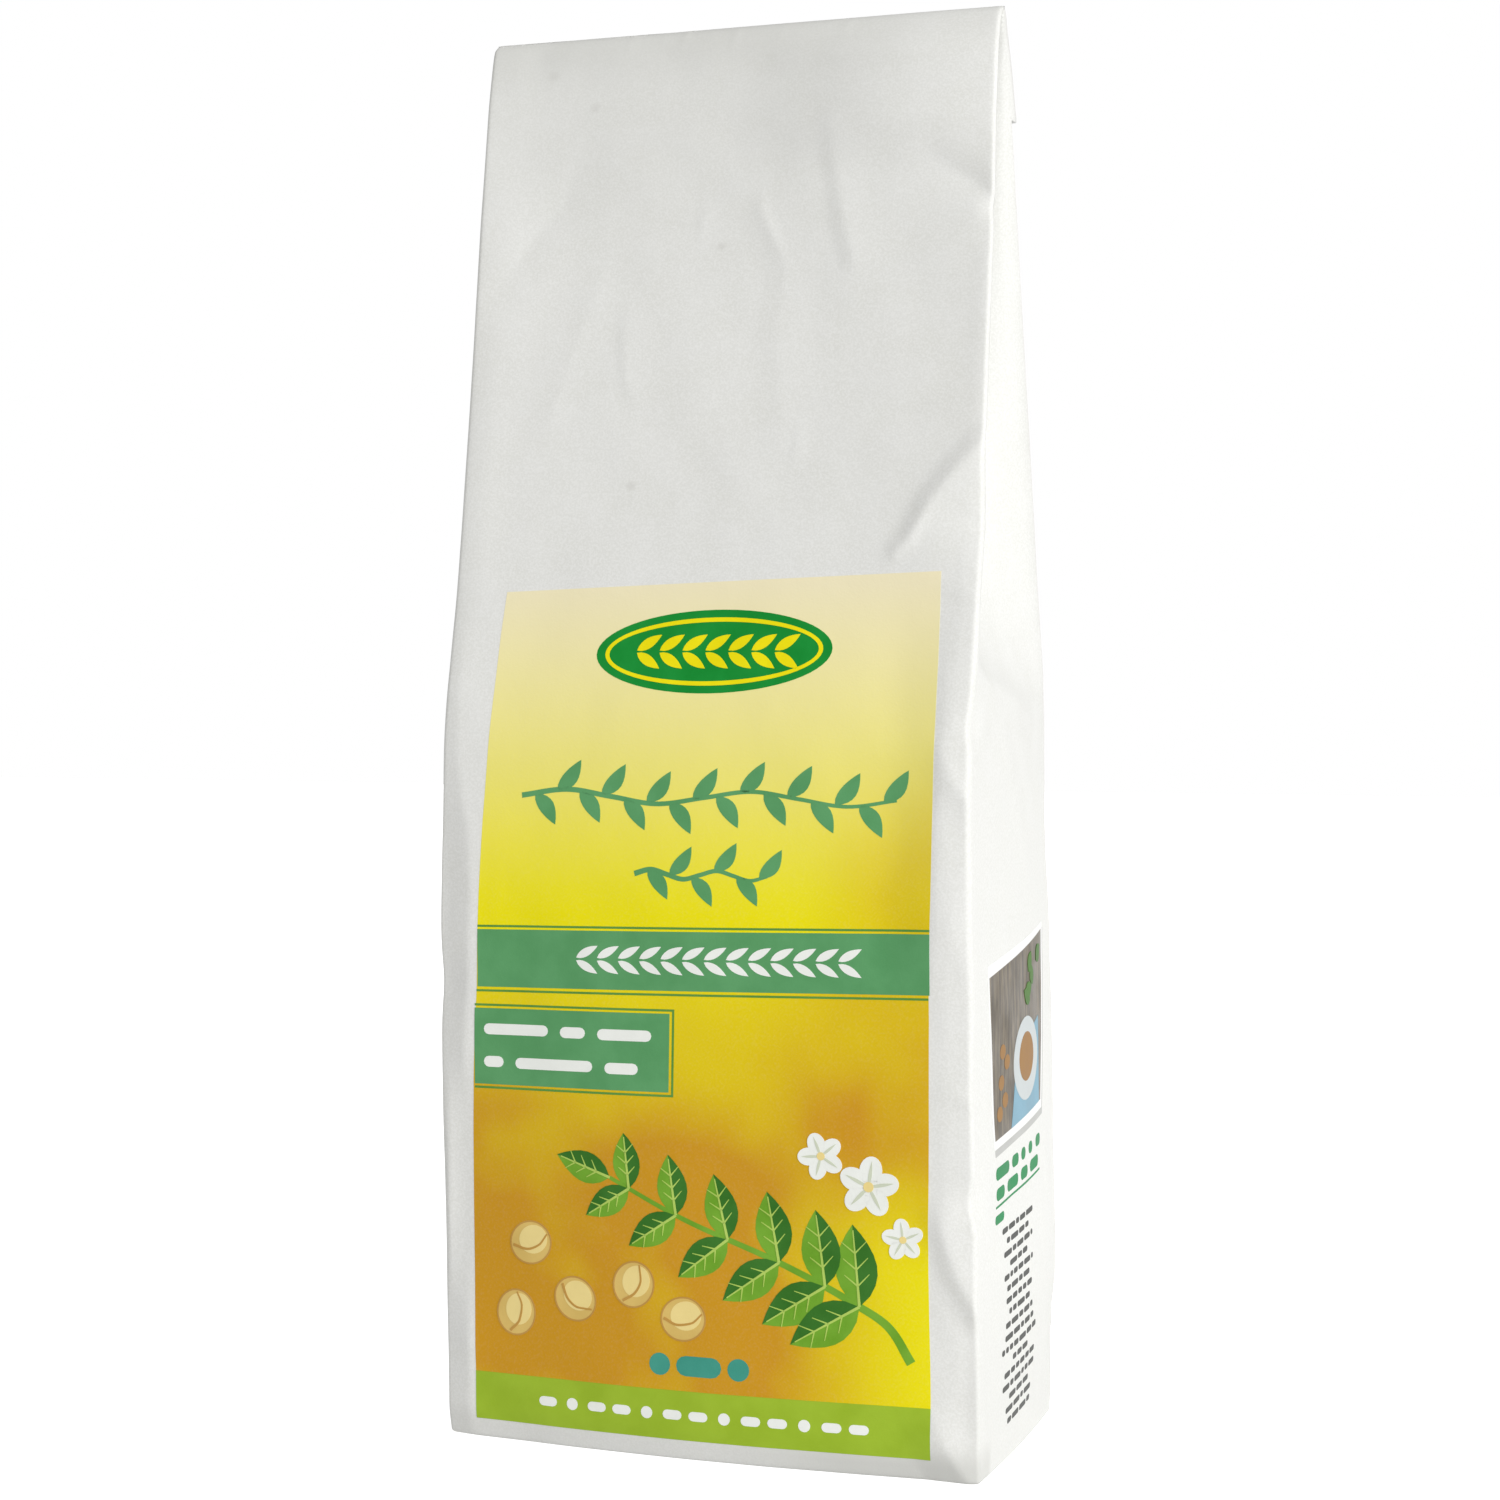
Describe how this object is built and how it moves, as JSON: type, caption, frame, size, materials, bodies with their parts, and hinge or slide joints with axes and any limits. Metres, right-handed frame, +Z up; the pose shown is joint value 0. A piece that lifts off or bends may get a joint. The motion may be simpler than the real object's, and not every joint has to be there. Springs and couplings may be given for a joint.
{
  "type": "bag of chickpea flour",
  "caption": "Filled block-bottom paper bag of flour, standing, with tucked sides and its top folded over to the back as a flap.",
  "frame": {"origin": "middle of the block bottom, on the surface that the bag stands on", "axes": "+Z up the bag, -Y out of the printed front, +X to the right as the front is seen"},
  "size_m": [0.1074, 0.0712, 0.264],
  "materials": {
    "paper": "satin white paper, printed on its front and one side"
  },
  "bodies": {
    "root": {"bag": "paper"}
  },
  "joints": []
}
